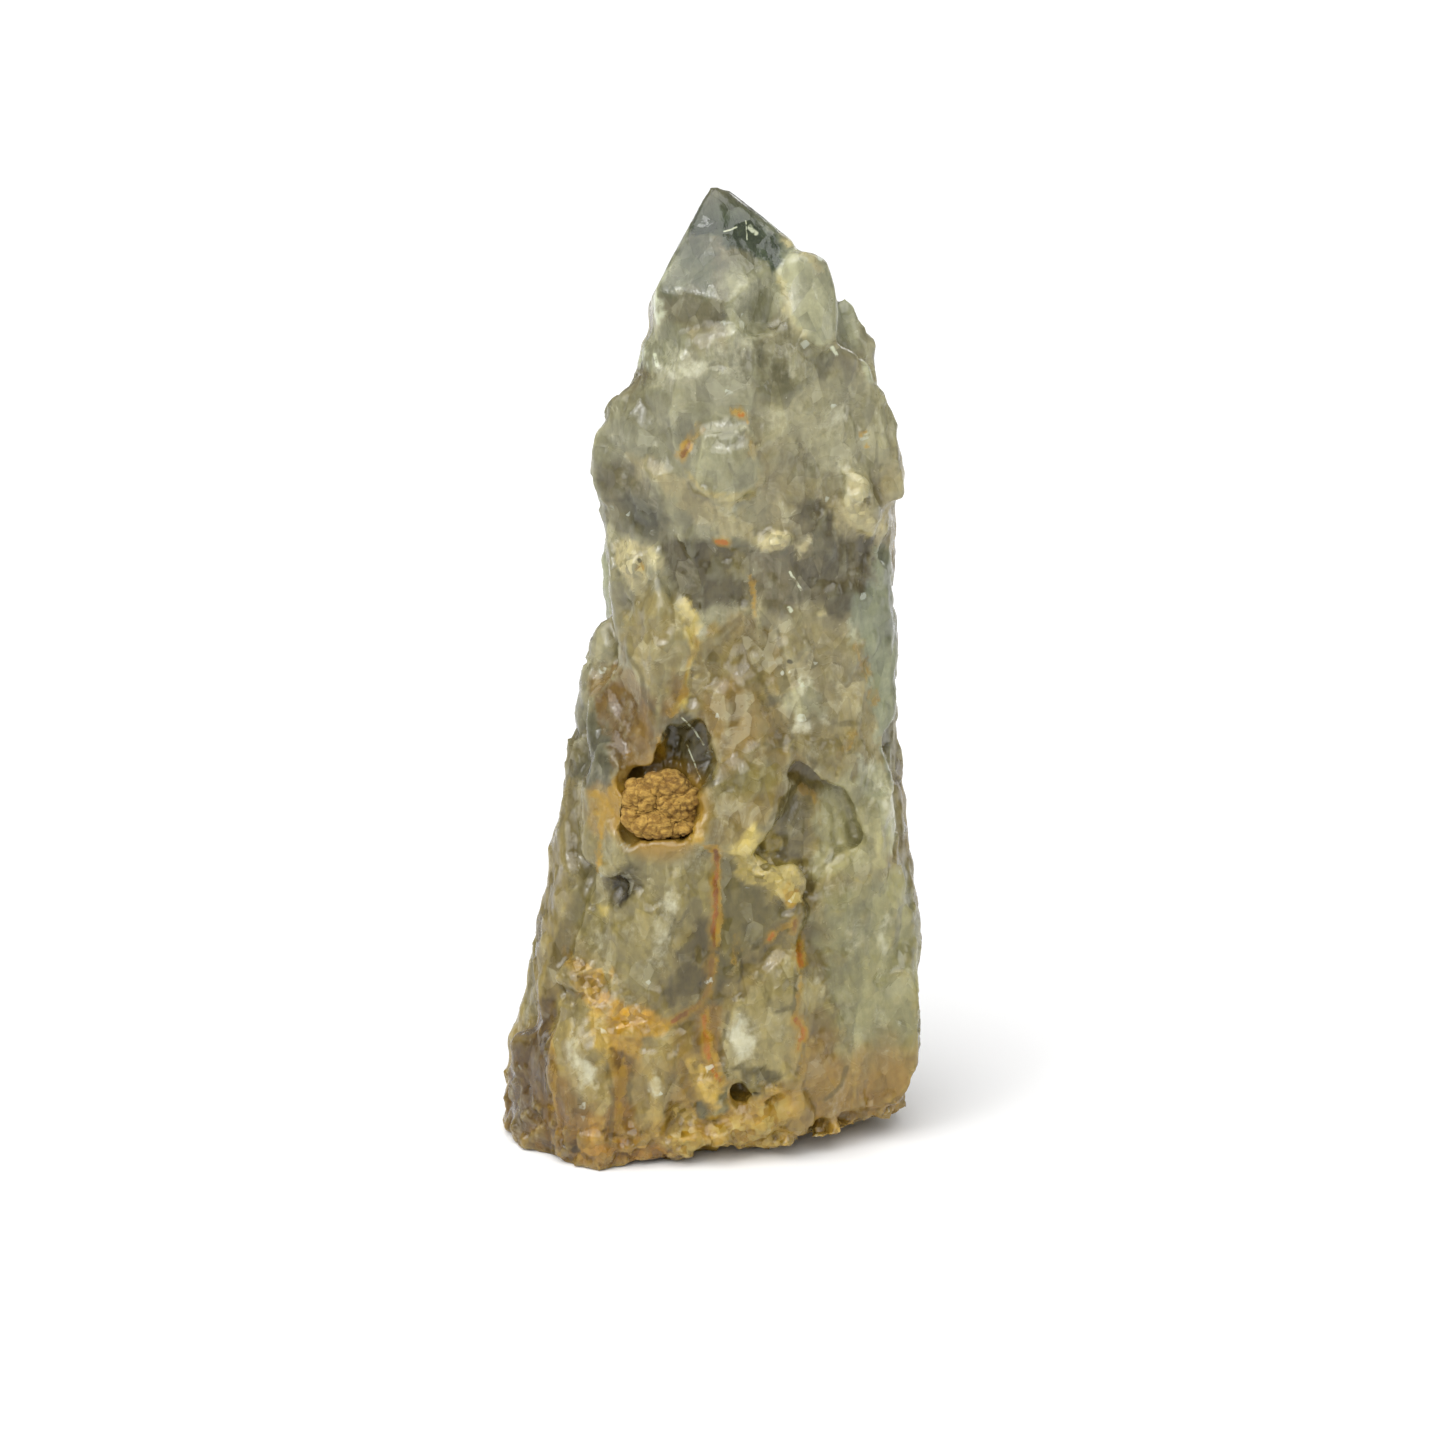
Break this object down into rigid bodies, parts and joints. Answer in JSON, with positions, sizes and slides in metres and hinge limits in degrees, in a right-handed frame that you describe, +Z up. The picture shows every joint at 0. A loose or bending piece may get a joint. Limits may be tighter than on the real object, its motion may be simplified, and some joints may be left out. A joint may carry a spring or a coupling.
{
  "type": "citrine quartz cluster",
  "caption": "Natural smoky citrine cluster: a tall pointed crystal sheathed in smaller parallel crystals, with a clay-filled pocket, resting on its flat broken foot.",
  "frame": {"origin": "on the floor, below the middle of the outline seen from above", "axes": "+Z up along the tall crystal, -Y towards the front with the clay pocket, +X towards the front's right"},
  "size_m": [0.0516, 0.0328, 0.1166],
  "materials": {
    "quartz": "Smoky olive quartz, glassy and clear at the point, milky lower down, stained yellow and rust at the foot.",
    "clay": "Matt crumbly ochre clay, coloured by iron oxide."
  },
  "bodies": {
    "root": {"citrine_cluster": "quartz", "pocket_clay": "clay"}
  },
  "joints": []
}
